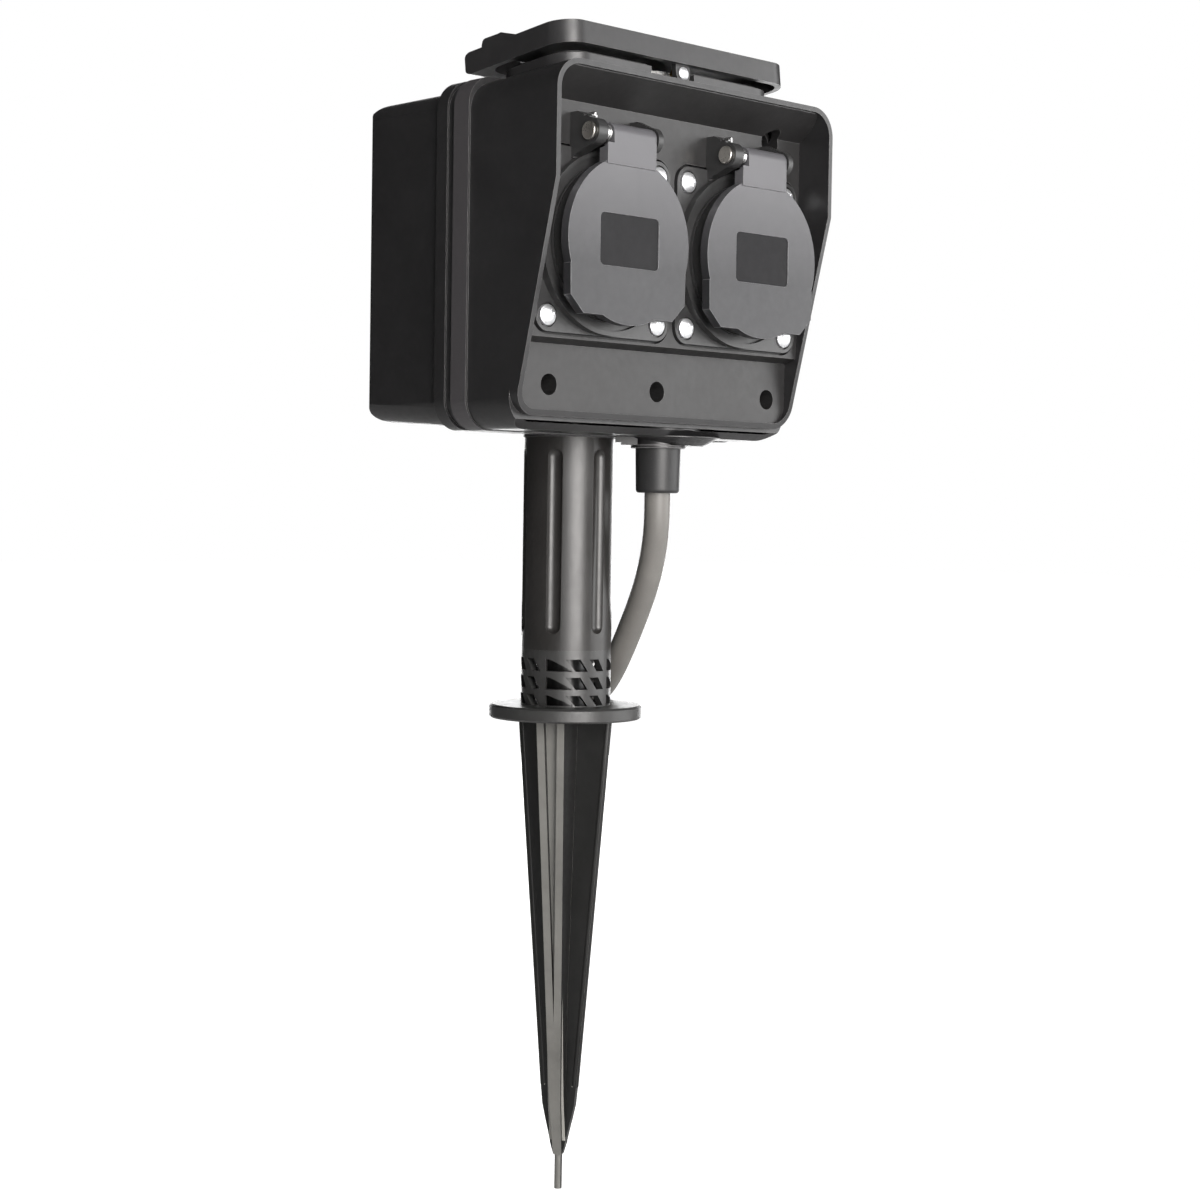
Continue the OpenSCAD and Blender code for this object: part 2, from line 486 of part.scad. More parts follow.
module control_panel() color([0.1, 0.1, 0.105]) translate([0, 0, up]) {
  difference() {
    union() {
      translate([0, 0, 195.2]) linear_extrude(1.4) rrect(-43.4, -44, 43.4, -15, 7.8);
      box(-40.9, -40.5, 190, 40.9, -16.7, 195.2);
      // ring of the dial
      bar_z(4, -29.6, 196, 197.2, 11.6, 64);
    }
    box(-39, -38.7, 185, 39, -18.6, 193.8);
    bar_z(4, -29.6, 185, 200, 2.05, 32);
    bar_z(-28, -29.6, 185, 200, 2.5, 32);
    // window for the light sensor
    bar_z(-33, -21, 196, 200, 3, 32);
  }
  // pillars for the board
  for (x = [-34, 34], y = [-37, -22]) bar_z(x, y, 188, 194, 2.2, 32);
}
module control_knob() color([0.75, 0.76, 0.77]) translate([0, 0, up]) {
  difference() {
    union() { bar_z(4, -29.6, 197.3, 202.2, 8.4, 64); bar_z(4, -29.6, 187.4, 198, 2, 32); }
    for (i = [0:17]) translate([4, -29.6, 198.2]) rotate([0, 0, i * 20]) translate([8.6, 0, 0]) cylinder(r = 0.6, h = 6, $fn = 12);
    box(3.5, -38.5, 201.4, 4.5, -32, 203);
  }
}
module status_lens() color([0.3, 0.75, 0.35]) bar_z(-28, -29.6, 192.4 + up, 197.2 + up, 2.48, 32);
module control_board() color([0.1, 0.35, 0.16]) translate([0, 0, up]) difference() {
  box(-38, -38.6, 186.4, 38, -19.4, 188);
  bar_z(4, -29.6, 180, 190, 2.3, 32);
}
module relay() color([0.2, 0.3, 0.55]) translate([0, 0, up]) { box(-26, -38, 172, -12, -24, 186.4); box(14, -38, 178, 30, -24, 186.4); }
module terminal_block() color([0.85, 0.85, 0.8]) difference() {
  box(-24, 12, 122, 24, back_y - wall, 140);
  for (x = [-18, 0, 18]) { bar_z(x, 20, 130, 145, 2.4, 32); bar_y(x, 128, 5, 20, 1.9, 32); }
}
module terminal_screws() color([0.75, 0.75, 0.77]) for (x = [-18, 0, 18]) bar_z(x, 20, 130, 138, 2.38, 32);
module elbow(x, y, z) translate([x, y, z]) sphere(r = 1.3, $fn = 32);
module wire_live() color([0.42, 0.24, 0.12]) { bar_y(-18, 128, -6, 16, 1.3, 32); elbow(-18, -6, 128); bar_z(-18, -6, 128, 147, 1.3, 32); elbow(-18, -6, 147); bar_y(-18, 147, -15, -6, 1.3, 32); }
module wire_neutral() color([0.1, 0.3, 0.75]) { bar_y(18, 128, -6, 16, 1.3, 32); elbow(18, -6, 128); bar_z(18, -6, 128, 147, 1.3, 32); elbow(18, -6, 147); bar_y(18, 147, -15, -6, 1.3, 32); }
module wire_earth() color([0.45, 0.62, 0.12]) { bar_z(gland_x, gland_y + 2, 113, 118, 1.3, 32); elbow(gland_x, gland_y + 2, 118); bar_y(gland_x, 118, gland_y + 2, 2, 1.3, 32); elbow(gland_x, 2, 118); bar_x(2, 118, 0, gland_x, 1.3, 32); elbow(0, 2, 118); bar_z(0, 2, 118, 128, 1.3, 32); elbow(0, 2, 128); bar_y(0, 128, 2, 16, 1.3, 32); }

// ---- gland ----------------------------------------------------------------
module gland_body() color([0.13, 0.13, 0.135]) {
  difference() {
    union() {
      bar_z(gland_x, gland_y, rim_z - 7.4, rim_z - 6.4, 8.8, 64);
      bar_z(gland_x, gland_y, rim_z - 6.4, 101, 7.98, 64);
    }
    bar_z(gland_x, gland_y, 80, 110, 6.2, 48);
  }
}
module gland_nut() color([0.13, 0.13, 0.135]) difference() { bar_z(gland_x, gland_y, rim_z + 1, rim_z + 5, 12, 6); bar_z(gland_x, gland_y, 90, 110, 8, 64); }
module gland_sleeve() color([0.12, 0.12, 0.125]) difference() {
  translate([gland_x, gland_y, 0]) rotate_extrude($fn = 64) polygon(concat([[4.22, 73.4]], arc(6, 74.4, 1, -90, 0, 4), [[7.3, rim_z - 7.4], [6.18, rim_z - 7.4], [6.18, 99], [4.22, 99]]));
}
module cable_hook() color([0.1, 0.1, 0.105]) difference() {
  translate([7.2, -20.2, 0]) rotate([0, 0, -42.6]) union() {
    translate([-4.2, -3, 89.3]) cube([9.4, 6, 2.4]);
    translate([-2.4, -3, 88.5]) cube([6.2, 6, 1.6]);
  }
  // clear of the dish and the ring of the gland
  translate([gland_x + 5.5, gland_y, rim_z - 6.44]) cylinder(r1 = 10.7, r2 = 16.1, h = 2.74, $fn = 96);
  bar_z(gland_x + 5.5, gland_y, under_z - 0.12, 100, 16.1, 96);
  bar_z(gland_x, gland_y, 80, 100, 9.1, 64);
  bar_z(0, 0, 80, 100, post_r + 0.5, 64);
  box(-20, -50, under_z - 0.01, 40, 10, 100);
  box(-20, -seam_y - 10.1, under_z - 0.31, 40, 10, 100);
}
module cable_clamp() color([0.1, 0.1, 0.105]) difference() {
  box(gland_x - 10.6, gland_y - 6, 103, gland_x + 10.6, gland_y + 6, 109);
  bar_z(gland_x, gland_y, 100, 112, cord_d / 2 + 0.02, 48);
  for (s = [-1, 1]) bar_y(gland_x + s * 8.6, 106, gland_y - 7, gland_y + 7, 1.5, 32);
}
module clamp_screws() color([0.75, 0.75, 0.77]) for (s = [-1, 1]) { bar_y(gland_x + s * 8.6, 106, gland_y - 6, gland_y + 6, 1.48, 32); bar_y(gland_x + s * 8.6, 106, gland_y + 6, gland_y + 7.6, 2.6, 32); }
module cable_inner() color([0.08, 0.08, 0.08]) bar_z(gland_x, gland_y, 98, 113, cord_d / 2, 48);

// ---- post and spike ---------------------------------------------------------
module post_tube() color([0.24, 0.24, 0.245]) difference() {
  union() { bar_z(0, 0, post_z0, post_z1, post_r, 96); bar_z(0, 0, post_z1, 99.4, 8, 64); }
  bar_z(0, 0, post_z0 - 1, post_z1 - 5, 11, 64);
  bar_z(0, 0, 60, 120, 4.5, 48);
  // six round-ended flutes
  for (i = [0:5]) rotate([0, 0, -90 + 60 * i]) flute();
}
module flute() {
  translate([post_r + 1.3, 0, 30.4]) cylinder(r = 2.9, h = 54, $fn = 48);
  translate([post_r + 1.3, 0, 30.4]) sphere(r = 2.9, $fn = 48);
  translate([post_r + 1.3, 0, 84.4]) sphere(r = 2.9, $fn = 48);
}
module post_nut() color([0.2, 0.2, 0.2]) difference() { bar_z(0, 0, rim_z + 0.65, rim_z + 4.4, 12.4, 6); bar_z(0, 0, 90, 110, 8, 64); }
module ground_collar() color([0.14, 0.14, 0.145]) {
  difference() {
    union() {
      bar_z(0, 0, 0.6, ground_t - 0.6, ground_r, 96);
      translate([0, 0, ground_t - 0.6]) cylinder(r1 = ground_r, r2 = ground_r - 0.8, h = 0.6, $fn = 96);
      cylinder(r1 = ground_r - 0.8, r2 = ground_r, h = 0.6, $fn = 96);
      bar_z(0, 0, ground_t, post_z0, post_r, 96);
    }
    bar_z(0, 0, -1, 30, 11, 64);
    bar_z(0, 0, ground_t, 20, 12, 64);
    // the roots of the fins stay clear of the foot ring
    bar_z(0, 0, -1, 0.35, 16.6, 96);
    // slanted windows in three rows, with four plain ribs
    for (q = [0:3], z = [[4.7, 8.1], [10, 13.9], [15.8, 19.7]]) rotate([0, 0, -162 + 90 * q]) {
      rotate([0, 0, 20]) ext_x(9.5, 17) polygon([[-4.2, z[0]], [4.4, z[0]], [4.1, z[0] + 0.3], [2, z[0] + 1.5], [-1, z[1] - 0.9], [-3, z[1] - 0.1], [-4.2, z[1]]]);
      rotate([0, 0, 45]) ext_x(9.5, 17) polygon([[-0.7, z[0]], [3.4, z[0]], [0.8, z[1]], [-4, z[1]]]);
      rotate([0, 0, 74]) ext_x(9.5, 17) polygon([[-0.5, z[0]], [2.8, z[0]], [0.2, z[1]], [-3.4, z[1]]]);
    }
  }
}
// tapered plate in the plane of X and Z, drawn in near the tip: w0 at the top, then [half width, height] down one side
module fin(w0, p, t) { rotate([90, 0, 0]) translate([0, 0, -t / 2]) linear_extrude(t)
  polygon(concat([[-w0, 0], [-w0, 0.3], [w0, 0.3], [w0, 0]], p, [for (i = [len(p) - 1:-1:0]) [-p[i][0], p[i][1]]])); }
module spike() color([0.13, 0.13, 0.135]) {
  union() {
    // core with a waist behind the windows of the collar
    bar_z(0, 0, -0.01, 4.2, 10.95, 64);
    bar_z(0, 0, 4, 21.2, 7, 64);
    bar_z(0, 0, 21, 58, 10.95, 64);
    rotate([0, 0, spike_turn]) {
      // side fins with thick edges
      fin(15.2, [[6, 33 - spike_l], [5.5, 28 - spike_l], [4.5, 23.5 - spike_l], [3.4, 19 - spike_l], [2.4, 14.5 - spike_l], [1.5, 11.5 - spike_l]], 2.4);
      for (s = [-1, 1]) translate([s * 14.7, 0, 0]) rotate([0, 180 + s * 4.5, 0]) { cylinder(r = 1.35, h = 121, $fn = 24); translate([0, 0, 121]) sphere(r = 1.35, $fn = 24); }
      // pair of cross walls, front and back, with a web between them
      for (s = [-1, 1]) translate([s * 3.5, 0, 0]) rotate([0, s * 1.3, 0]) rotate([0, 0, 90])
        fin(15, [[5.2, 33 - spike_l], [4.6, 28 - spike_l], [3.8, 23.5 - spike_l], [2.9, 19 - spike_l], [2.1, 14.5 - spike_l], [1.5, 11.5 - spike_l]], 2.5);
      rotate([0, 0, 90]) fin(13, [[4, 33 - spike_l], [3.4, 28 - spike_l], [2.4, 23 - spike_l], [1, 15 - spike_l]], 5.4);
      // tip
      translate([0, 0, -spike_l + 14.6]) rotate([180, 0, 0]) cylinder(r1 = 1.9, r2 = 1.25, h = 4, $fn = 32);
      translate([0, 0, -spike_l]) cylinder(r = 1.25, h = 14.7, $fn = 32);
    }
  }
}

// ---- lead -------------------------------------------------------------------
// route of the lead in [along, across, up], before the turn by cord_a
lead_points = [[-7, -28.6, 98], [-7, -28.6, 88], [-7, -28.6, 80], [-7, -28.6, 72], [-6.4, -28.6, 64],
  [-4, -28.1, 56], [-0.2, -26.4, 46], [4.6, -23.7, 36.4], [11.4, -19.6, 24.6], [18.6, -16.2, 15.6],
  [26.4, -13.2, 9.4], [36, -10.6, 5.6], [47, -9, 4.3], [57, -8.4, 4.2], [66.2, -8.4, 4.2]];
// ring of points round each stop of a route, carried along without twist
function unit(v) = v / norm(v);
function tangent(p, i) = unit(i == 0 ? p[1] - p[0] : i == len(p) - 1 ? p[i] - p[i - 1] : unit(p[i + 1] - p[i]) + unit(p[i] - p[i - 1]));
function side_of(t) = unit(cross(t, abs(t[1]) > 0.9 ? [0, 0, 1] : [0, 1, 0]));
module tube(p, r, n) {
  pts = [for (i = [0:len(p) - 1]) let (t = tangent(p, i), a = side_of(t), b = cross(t, a)) for (k = [0:n - 1]) p[i] + r * (cos(360 * k / n) * a + sin(360 * k / n) * b)];
  m = len(p);
  faces = concat([[for (k = [0:n - 1]) n - 1 - k]], [[for (k = [0:n - 1]) (m - 1) * n + k]],
    [for (i = [0:m - 2], k = [0:n - 1]) [i * n + k, i * n + (k + 1) % n, (i + 1) * n + (k + 1) % n, (i + 1) * n + k]]);
  polyhedron(points = pts, faces = faces);
}
module cord_lead() color([0.08, 0.08, 0.08]) on_cord() tube(lead_points, cord_d / 2, 12);
// racetrack outline of the hank, runs along X, standing on its edge
hank_w0 = 18 + hank_r + cord_d / 2;
module track(r) { translate([hank_w0, cord_d / 2 + hank_r]) circle(r = r, $fn = 96); translate([hank_w0 + hank_s, cord_d / 2 + hank_r]) circle(r = r, $fn = 96); translate([hank_w0, cord_d / 2 + hank_r - r]) square([hank_s, 2 * r]); }
module cord_hank() color([0.08, 0.08, 0.08]) on_cord() ext_y(-1.5 * cord_d, 1.5 * cord_d) difference() { track(hank_r + cord_d / 2); track(hank_r - cord_d / 2); }
tail_z = 26.7;
tail_r = (2 * hank_r + cord_d / 2 - tail_z) / 2;
tail_points = concat([for (i = [0:9]) [hank_w0 + tail_r * cos(144 + 14 * i), 0, tail_z + tail_r + tail_r * sin(144 + 14 * i)]], [[hank_w0 + 4, 0, tail_z], [hank_w0 + 8, 0, tail_z]]);
module cord_tail() color([0.08, 0.08, 0.08]) on_cord() tube(tail_points, cord_d / 2, 12);
module cord_ties() color([0.02, 0.02, 0.02]) on_cord() {
  // straps round the bundle of turns
  difference() {
    translate([hank_w0 + hank_s / 2 - 6, -1.5 * cord_d - 1.2, 2 * hank_r - 1.2]) cube([12, 3 * cord_d + 2.4, cord_d + 2.4]);
    translate([hank_w0 + hank_s / 2 - 7, -1.5 * cord_d, 2 * hank_r]) cube([14, 3 * cord_d, cord_d]);
  }
}
// ---- plug -------------------------------------------------------------------
plug_x = hank_w0 + 8;
module on_plug() { on_cord() translate([plug_x, 0, tail_z]) rotate([0, 90, 0]) children(); }
module plug_boot() color([0.1, 0.1, 0.1]) on_plug() rotate_extrude($fn = 48) polygon([[0, 0], [5.4, 0], [5.7, 0.6], [7.4, 21], [7.4, 22], [0, 22]]);
module plug_body() color([0.1, 0.1, 0.1]) on_plug() difference() {
  union() {
    translate([0, 0, 22]) rotate_extrude($fn = 64) polygon(concat([[0, 0], [9, 0], [10.5, 1.2], [13.2, 12], [13.6, 19]], arc(15.3, 24, 3, 205, 180, 3), [[18.3, 24.4], [18.3, 37.2]], arc(17.3, 37.2, 1, 0, 90, 4), [[0, 38.2]]));
  }
  // side flats
  for (s = [-1, 1]) translate([-20, s * 17.1 - (s < 0 ? 6 : 0), 40]) cube([40, 6, 30]);
  for (s = [-1, 1]) translate([-20, s > 0 ? 17.1 : -23.1, 20]) cube([40, 6, 50]);
  // grooves for the earth strips
  for (s = [-1, 1]) translate([s > 0 ? 16.6 : -20.6, -2.6, 45]) cube([4, 5.2, 20]);
  // pin bores
  for (s = [-1, 1]) translate([0, s * pin_sp / 2, 48]) cylinder(r = 2.42, h = 20, $fn = 32);
}
module plug_pins() color([0.82, 0.82, 0.8]) on_plug() for (s = [-1, 1]) translate([0, s * pin_sp / 2, 48]) {
  cylinder(r = 2.4, h = 30.4, $fn = 32);
  translate([0, 0, 30.4]) cylinder(r1 = 2.4, r2 = 1.6, h = 0.8, $fn = 32);
}
module plug_earth_strips() color([0.82, 0.82, 0.8]) on_plug() for (s = [-1, 1]) translate([s > 0 ? 16.6 : -17.8, -2.4, 45.4]) cube([1.2, 4.8, 14.2]);

front_shell();
socket_wall();
lid_frame();
rear_shell();
housing_seal();
housing_screws();
left_frame();
right_frame();
left_gasket();
right_gasket();
flange_screws();
left_insert();
right_insert();
left_earth_clips();
right_earth_clips();
left_contacts();
right_contacts();
contact_screws();
left_flap();
right_flap();
left_flap_seal();
right_flap_seal();
left_hinge_pin();
right_hinge_pin();
left_spring();
right_spring();
top_lid();
lid_hinge_pin();
lid_seal();
lid_screw();
lid_screw_nut();
control_panel();
control_knob();
status_lens();
control_board();
relay();
terminal_block();
terminal_screws();
wire_live();
wire_neutral();
wire_earth();
gland_body();
gland_nut();
gland_sleeve();
cable_hook();
cable_clamp();
clamp_screws();
cable_inner();
post_tube();
post_nut();
ground_collar();
spike();
cord_lead();
cord_hank();
cord_tail();
cord_ties();
plug_boot();
plug_body();
plug_pins();
plug_earth_strips();
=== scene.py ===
import math

import bmesh
import bpy
from mathutils import Matrix, Vector


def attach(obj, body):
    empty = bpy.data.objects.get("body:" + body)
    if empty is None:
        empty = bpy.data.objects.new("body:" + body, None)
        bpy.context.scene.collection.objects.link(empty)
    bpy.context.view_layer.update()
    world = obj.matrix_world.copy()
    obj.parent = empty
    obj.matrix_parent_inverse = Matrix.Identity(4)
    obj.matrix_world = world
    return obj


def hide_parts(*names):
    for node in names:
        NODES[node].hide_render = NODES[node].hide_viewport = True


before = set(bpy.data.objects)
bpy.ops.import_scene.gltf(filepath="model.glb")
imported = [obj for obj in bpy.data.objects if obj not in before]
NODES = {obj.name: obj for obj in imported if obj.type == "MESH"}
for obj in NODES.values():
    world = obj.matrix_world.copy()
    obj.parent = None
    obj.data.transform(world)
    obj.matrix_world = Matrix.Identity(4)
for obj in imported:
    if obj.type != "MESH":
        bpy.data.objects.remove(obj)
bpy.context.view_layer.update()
MM = 0.001

# ---------------------------------------------------------------- camera
R = Vector((0.7263, -0.6872, 0.0159)).normalized()
B = Vector((-0.6872, -0.7255, 0.0362)).normalized()
U = B.cross(R).normalized()
R = U.cross(B).normalized()
cam_data = bpy.data.cameras.new("camera")
cam = bpy.data.objects.new("camera", cam_data)
bpy.context.scene.collection.objects.link(cam)
cam_data.sensor_width = 36.0
cam_data.sensor_fit = "AUTO"
cam_data.lens = 67.19
cam.matrix_world = Matrix((
    (R.x, U.x, B.x, -0.49299),
    (R.y, U.y, B.y, -0.53612),
    (R.z, U.z, B.z, 0.06478),
    (0, 0, 0, 1)))
cam_data.clip_start, cam_data.clip_end = 0.02, 50
bpy.context.scene.camera = cam

# ---------------------------------------------------------------- lead route
A = math.radians(47.4)


def along(w, v, z):
    """A point w along and v across the lead's direction, in mm, as a row point in metres."""
    return Vector((w * math.cos(A) - v * math.sin(A), w * math.sin(A) + v * math.cos(A), z)) * MM


D = 8.4
GW, GU = -7.0, 28.6
HR, HS = 44.0, 76.0
H0 = 18 + HR + D / 2
TAIL_Z = 26.7
TAIL_R = (2 * HR + D / 2 - TAIL_Z) / 2
ZC = D / 2 + HR


def ease(t):
    t = min(1.0, max(0.0, t))
    return t * t * (3 - 2 * t)


def lead_route():
    p = [(GW, -GU, 90), (GW, -GU, 84), (GW, -GU, 78), (GW, -GU, 72), (-6.4, -28.6, 64),
         (-4, -28.1, 56), (-0.2, -26.4, 46), (4.6, -23.7, 36.4), (11.4, -19.6, 24.6), (18.6, -16.2, 15.6),
         (26.4, -13.2, 9.4), (36, -10.6, 5.6), (47, -9, 4.35), (57, -8.5, 4.3)]
    pts = [(w, u, z) for w, u, z in p]
    for lap in range(3):
        u0 = -8.4 + 8.4 * lap
        for i in range(6):
            pts.append((H0 + HS * i / 5, u0, 4.3))
        n = 15
        for i in range(1, n):
            a = math.radians(-90 + 180 * i / n)
            r = HR - 0.1
            pts.append((H0 + HS + r * math.cos(a), u0, ZC + r * math.sin(a)))
        for i in range(6):
            pts.append((H0 + HS - HS * i / 5, u0, ZC + HR - 0.1))
        if lap < 2:
            for i in range(1, n):
                a = math.radians(90 + 180 * i / n)
                r = HR - 0.1
                u = u0 + 8.4 * ease((i / n - 0.45) / 0.5)
                pts.append((H0 + r * math.cos(a), u, ZC + r * math.sin(a)))
        else:
            n = 14
            for i in range(1, n + 1):
                a = math.radians(90 + 180 * i / n)
                u = u0 * (1 - ease((i / n - 0.05) / 0.8))
                pts.append((H0 + TAIL_R * math.cos(a), u, TAIL_Z + TAIL_R + TAIL_R * math.sin(a)))
            pts.append((H0 + 4, 0, TAIL_Z))
            pts.append((H0 + 9, 0, TAIL_Z))
    return pts


def smooth_path(pts, per=4):
    """The smooth line that a rubber lead takes along its route."""
    out = [pts[0]]
    for i in range(1, len(pts) - 1):
        a, c, b = (pts[i - 1] + pts[i]) / 2, pts[i], (pts[i] + pts[i + 1]) / 2
        for k in range(per):
            t = k / per
            out.append(a * (1 - t) ** 2 + c * 2 * t * (1 - t) + b * t * t)
    out.append((pts[-2] + pts[-1]) / 2)
    out.append(pts[-1])
    return out


def tube_piece(name, path, radius, sides=20):
    """A round skin swept along the path, with closed ends and no twist."""
    bm = bmesh.new()
    rings = []
    n = len(path)
    tan = [(path[min(i + 1, n - 1)] - path[max(i - 1, 0)]).normalized() for i in range(n)]
    side = tan[0].orthogonal().normalized()
    for i in range(n):
        side = (side - tan[i] * side.dot(tan[i])).normalized()
        up = tan[i].cross(side)
        rings.append([bm.verts.new(path[i] + (side * math.cos(2 * math.pi * k / sides) + up * math.sin(2 * math.pi * k / sides)) * radius)
                      for k in range(sides)])
    for p, q in zip(rings, rings[1:]):
        for k in range(sides):
            bm.faces.new((p[k], p[(k + 1) % sides], q[(k + 1) % sides], q[k]))
    for ring, at in ((rings[0], path[0]), (rings[-1], path[-1])):
        c = bm.verts.new(at)
        for k in range(sides):
            bm.faces.new((ring[k], ring[(k + 1) % sides], c))
    bmesh.ops.recalc_face_normals(bm, faces=bm.faces)
    for f in bm.faces:
        f.smooth = len(f.verts) == 4
    me = bpy.data.meshes.new(name)
    bm.to_mesh(me)
    bm.free()
    o = bpy.data.objects.new(name, me)
    bpy.context.scene.collection.objects.link(o)
    return o


route = smooth_path([along(*p) for p in lead_route()])
route_len = sum((b - a).length for a, b in zip(route, route[1:]))
print("lead route length", round(route_len, 4))
lead = tube_piece("supply_lead", route, D / 2 * MM)
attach(lead, "housing")
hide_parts("cord_lead", "cord_hank", "cord_tail")


# ---------------------------------------------------------------- materials
def mat_new(name):
    m = bpy.data.materials.new(name)
    m.use_nodes = True
    t = m.node_tree
    t.nodes.clear()
    out = t.nodes.new("ShaderNodeOutputMaterial")
    bsdf = t.nodes.new("ShaderNodeBsdfPrincipled")
    t.links.new(bsdf.outputs[0], out.inputs[0])
    return m, t, bsdf


def noise(t, co, scale, detail=3.0, rough=0.55, dist=0.0):
    n = t.nodes.new("ShaderNodeTexNoise")
    n.inputs["Scale"].default_value = scale
    n.inputs["Detail"].default_value = detail
    n.inputs["Roughness"].default_value = rough
    n.inputs["Distortion"].default_value = dist
    t.links.new(co, n.inputs["Vector"])
    return n.outputs["Fac"]


def ramp(t, fac, stops):
    r = t.nodes.new("ShaderNodeValToRGB")
    e = r.color_ramp.elements
    while len(e) > 1:
        e.remove(e[-1])
    e[0].position, e[0].color = stops[0][0], (*stops[0][1], 1)
    for pos, col in stops[1:]:
        k = e.new(pos)
        k.color = (*col, 1)
    t.links.new(fac, r.inputs[0])
    return r.outputs[0]


def math_node(t, op, a, b=None, c=None, clamp=False):
    n = t.nodes.new("ShaderNodeMath")
    n.operation = op
    n.use_clamp = clamp
    for i, v in enumerate((a, b, c)):
        if v is None:
            continue
        if isinstance(v, (int, float)):
            n.inputs[i].default_value = v
        else:
            t.links.new(v, n.inputs[i])
    return n.outputs[0]


def mix_col(t, fac, a, b):
    n = t.nodes.new("ShaderNodeMix")
    n.data_type = "RGBA"
    if isinstance(fac, (int, float)):
        n.inputs[0].default_value = fac
    else:
        t.links.new(fac, n.inputs[0])
    for i, v in ((6, a), (7, b)):
        if isinstance(v, tuple):
            n.inputs[i].default_value = (*v, 1)
        else:
            t.links.new(v, n.inputs[i])
    return n.outputs[2]


def bump(t, height, strength, distance, normal=None):
    n = t.nodes.new("ShaderNodeBump")
    n.inputs["Strength"].default_value = strength
    n.inputs["Distance"].default_value = distance
    t.links.new(height, n.inputs["Height"])
    if normal is not None:
        t.links.new(normal, n.inputs["Normal"])
    return n.outputs[0]


def zone(t, co, lo, hi):
    """1 inside a box of the piece, given in mm, 0 outside."""
    x = t.nodes.new("ShaderNodeSeparateXYZ")
    t.links.new(co, x.inputs[0])
    f = None
    for i in range(3):
        for v, op in ((lo[i], "GREATER_THAN"), (hi[i], "LESS_THAN")):
            if v is None:
                continue
            g = math_node(t, op, x.outputs[i], v * MM)
            f = g if f is None else math_node(t, "MULTIPLY", f, g)
    return f


def plastic(name, base, rough=0.42, grain=2600.0, grain_bump=0.25, var=0.12, wear=0.25, wear_col=None,
        spec=0.5, coat=0.0, streak=None, zones=(), edge=False, painted_top_sheen=None):
    """Moulded plastic: spark-eroded grain, handling marks, more rub marks on edge strips; the lighter copies made for
    edge strips are painted highlight.
    """
    m, t, s = mat_new(name)
    co = t.nodes.new("ShaderNodeTexCoord").outputs["Object"]
    big = noise(t, co, 22, 4, 0.6)
    mid = noise(t, co, 160, 4, 0.6)
    fine = noise(t, co, grain, 2, 0.6)
    dark = tuple(c * (1 - var) for c in base)
    light = tuple(min(1, c * (1 + var)) for c in base)
    col = ramp(t, big, [(0.3, dark), (0.7, light)])
    spots = ramp(t, mid, [(0.45, (0, 0, 0)), (0.75, (1, 1, 1))])
    col = mix_col(t, math_node(t, "MULTIPLY", spots, 0.25), col, tuple(min(1, c * 1.35 + 0.004) for c in base))
    if painted_top_sheen:
        # painted sheen: colour lighter towards the top
        x = t.nodes.new("ShaderNodeSeparateXYZ")
        t.links.new(co, x.inputs[0])
        f = math_node(t, "MULTIPLY", math_node(t, "SUBTRACT", x.outputs[2], painted_top_sheen[0]), 1 / (painted_top_sheen[1] - painted_top_sheen[0]), clamp=True)
        col = mix_col(t, f, col, painted_top_sheen[2])
    smooth = None
    for lo_, hi_, zcol, matt in zones:
        z = zone(t, co, lo_, hi_)
        col = mix_col(t, z, col, zcol)
        z = math_node(t, "MULTIPLY", z, matt)
        smooth = z if smooth is None else math_node(t, "ADD", smooth, z)
    # rubbed places, most of them on the edge strips
    rub = ramp(t, noise(t, co, 420, 3, 0.6), [(0.38, (0, 0, 0)), (0.66, (1, 1, 1))])
    col = mix_col(t, math_node(t, "MULTIPLY", rub, wear if edge else wear * 0.10), col,
                  wear_col or tuple(min(1, c * 2.2 + 0.02) for c in base))
    t.links.new(col, s.inputs["Base Color"])
    r = math_node(t, "MULTIPLY_ADD", big, 0.22, rough - 0.11)
    r = math_node(t, "MULTIPLY_ADD", mid, 0.10, math_node(t, "ADD", r, -0.05))
    if smooth is not None:
        r = math_node(t, "ADD", r, smooth)
    r = math_node(t, "SUBTRACT", r, math_node(t, "MULTIPLY", rub, 0.05), clamp=True)
    t.links.new(r, s.inputs["Roughness"])
    s.inputs["Specular IOR Level"].default_value = spec
    s.inputs["Coat Weight"].default_value = coat
    s.inputs["Coat Roughness"].default_value = 0.3
    # shallow sink marks, then the grain
    n = bump(t, noise(t, co, 38, 2, 0.5), 0.10, 0.0014)
    n = bump(t, fine, grain_bump, 0.00006, n)
    if streak:
        w = t.nodes.new("ShaderNodeMapping")
        w.inputs["Scale"].default_value = streak
        t.links.new(co, w.inputs["Vector"])
        n = bump(t, noise(t, w.outputs[0], 1.0, 3, 0.6), 0.12, 0.00008, n)
    t.links.new(n, s.inputs["Normal"])
    return m


def metal(name, base, rough=0.25, grain=(900, 900, 900), tint=None, bump_s=0.2):
    """Plated or turned metal with a drawn grain and dull patches."""
    m, t, s = mat_new(name)
    co = t.nodes.new("ShaderNodeTexCoord").outputs["Object"]
    mp = t.nodes.new("ShaderNodeMapping")
    mp.inputs["Scale"].default_value = grain
    t.links.new(co, mp.inputs["Vector"])
    g = noise(t, mp.outputs[0], 1.0, 3, 0.6)
    big = noise(t, co, 220, 4, 0.6)
    col = ramp(t, big, [(0.3, tuple(c * 0.86 for c in base)), (0.65, base), (0.8, tint or base)])
    t.links.new(col, s.inputs["Base Color"])
    s.inputs["Metallic"].default_value = 1.0
    r = math_node(t, "MULTIPLY_ADD", g, 0.16, rough - 0.08)
    r = math_node(t, "MULTIPLY_ADD", big, 0.1, math_node(t, "ADD", r, -0.05), clamp=True)
    t.links.new(r, s.inputs["Roughness"])
    t.links.new(bump(t, g, bump_s, 0.00002), s.inputs["Normal"])
    return m


